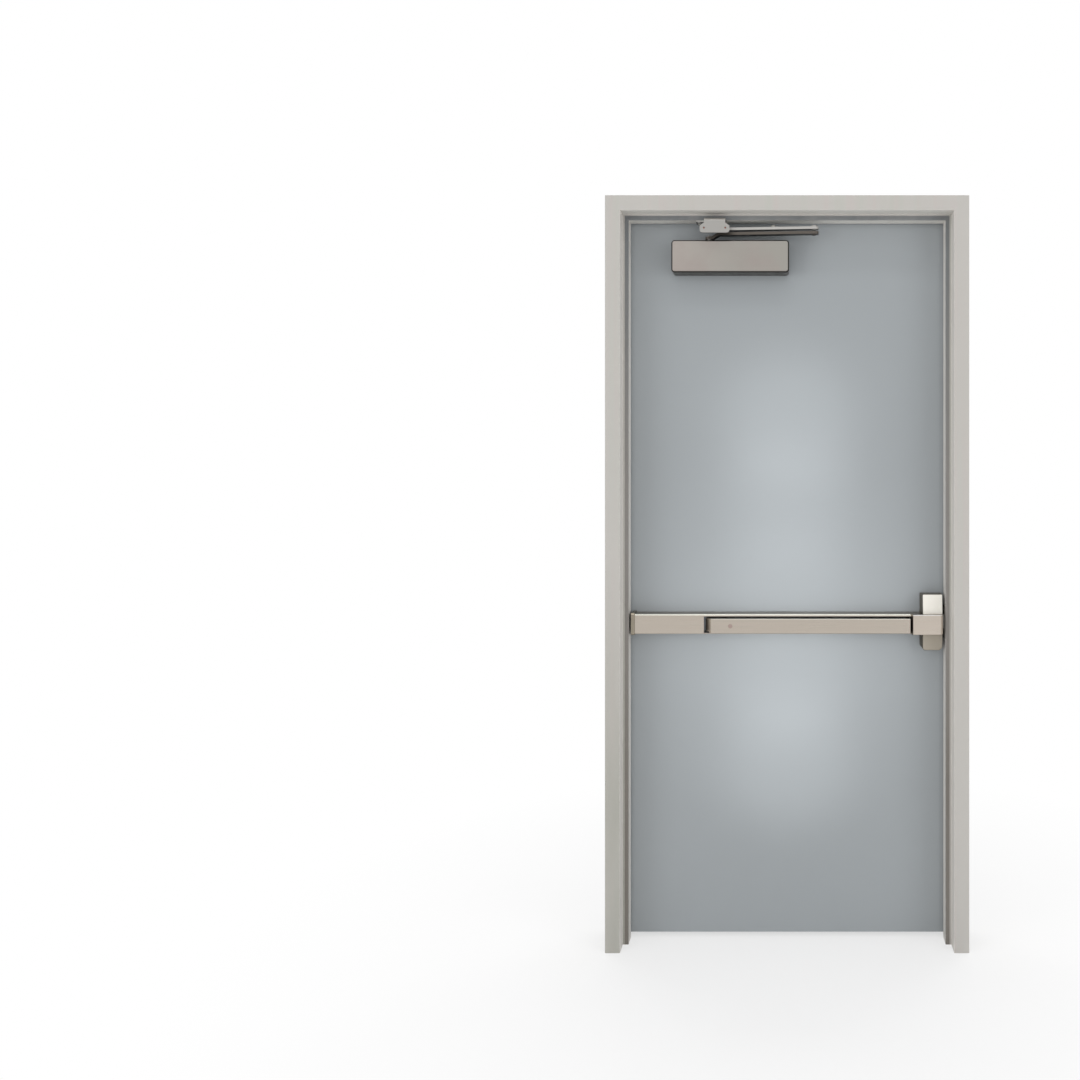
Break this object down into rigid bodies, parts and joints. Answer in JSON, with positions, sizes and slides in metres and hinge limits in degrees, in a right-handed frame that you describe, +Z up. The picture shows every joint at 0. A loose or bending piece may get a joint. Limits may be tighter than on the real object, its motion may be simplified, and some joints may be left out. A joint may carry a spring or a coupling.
{
  "type": "steel utility door",
  "caption": "Steel utility door hung in a pressed steel frame, with a parallel-arm closer at the top and a panic bar across the push side.",
  "frame": {"origin": "underside of the floor anchor inside the hinge jamb, at the middle of the jamb in its face and in its depth", "axes": "+Z up, +X from the hinge jamb to the strike jamb, +Y from the push side to the pull side, where the leaf swings"},
  "size_m": [0.997, 0.1619, 2.0733],
  "materials": {
    "frame_paint": "satin, warm light grey",
    "leaf_paint": "satin, blue grey",
    "honeycomb_core": "kraft paper",
    "silencer_rubber": "matte",
    "closer_cover_metal": "sprayed satin aluminium",
    "closer_casting": "painted casting",
    "galvanised_steel": "galvanised",
    "satin_steel": "satin",
    "bar_metal": "satin, warm",
    "arm_steel": "sprayed satin"
  },
  "bodies": {
    "frame": {"bracket_pivot": "arm_steel", "closer_bracket": "arm_steel", "door_silencers": "silencer_rubber", "frame_head": "frame_paint", "hinge_frame_leaves": "satin_steel", "hinge_jamb": "frame_paint", "hinge_jamb_anchor": "galvanised_steel", "hinge_pins": "satin_steel", "hinge_reinforcements": "galvanised_steel", "strike_jamb": "frame_paint", "strike_jamb_anchor": "galvanised_steel", "strike_plate": "satin_steel"},
    "door": {"bottom_channel": "leaf_paint", "closer_body": "closer_casting", "closer_cover": "closer_cover_metal", "door_core": "honeycomb_core", "exit_rail": "bar_metal", "head_band": "bar_metal", "head_case": "bar_metal", "hinge_door_leaves": "satin_steel", "pad_guides": "satin_steel", "pull_skin": "leaf_paint", "push_skin": "leaf_paint", "rail_end_cap": "bar_metal", "top_channel": "leaf_paint"},
    "main_arm": {"closer_pinion": "arm_steel", "main_arm": "arm_steel"},
    "forearm": {"forearm_bar": "arm_steel"},
    "touch_pad": {"touch_pad": "bar_metal"},
    "latch_bolt": {"latch_bolt": "satin_steel"}
  },
  "joints": [
    {"name": "door_swing", "type": "hinge", "parent": "frame", "child": "door", "pos_m": [0.02315, 0.08245, 0], "axis": [0, 0, 1], "range_deg": [0, 100], "stiffness_Nm_per_rad": 10, "springref_deg": -40.11},
    {"name": "main_arm_turn", "type": "hinge", "parent": "door", "child": "main_arm", "pos_m": [0.25985, -0.002, 0], "axis": [0, 0, 1], "range_deg": [-108.5, 0]},
    {"name": "forearm_turn", "type": "hinge", "parent": "frame", "child": "forearm", "pos_m": [0.27185, -0.004, 0], "axis": [0, 0, 1], "range_deg": [0, 77.7]},
    {"name": "touch_pad_press", "type": "slide", "parent": "door", "child": "touch_pad", "axis": [0, -1, 0], "range_m": [0, 0.013]},
    {"name": "latch_throw", "type": "slide", "parent": "door", "child": "latch_bolt", "axis": [1, 0, 0], "range_m": [0, 0.018]}
  ],
  "couplings": [
    {"joint": "main_arm_turn", "follows": "door_swing", "ratio": -1.0836},
    {"joint": "forearm_turn", "follows": "door_swing", "ratio": 0.77612},
    {"joint": "latch_throw", "follows": "touch_pad_press", "ratio": 1.3846}
  ]
}
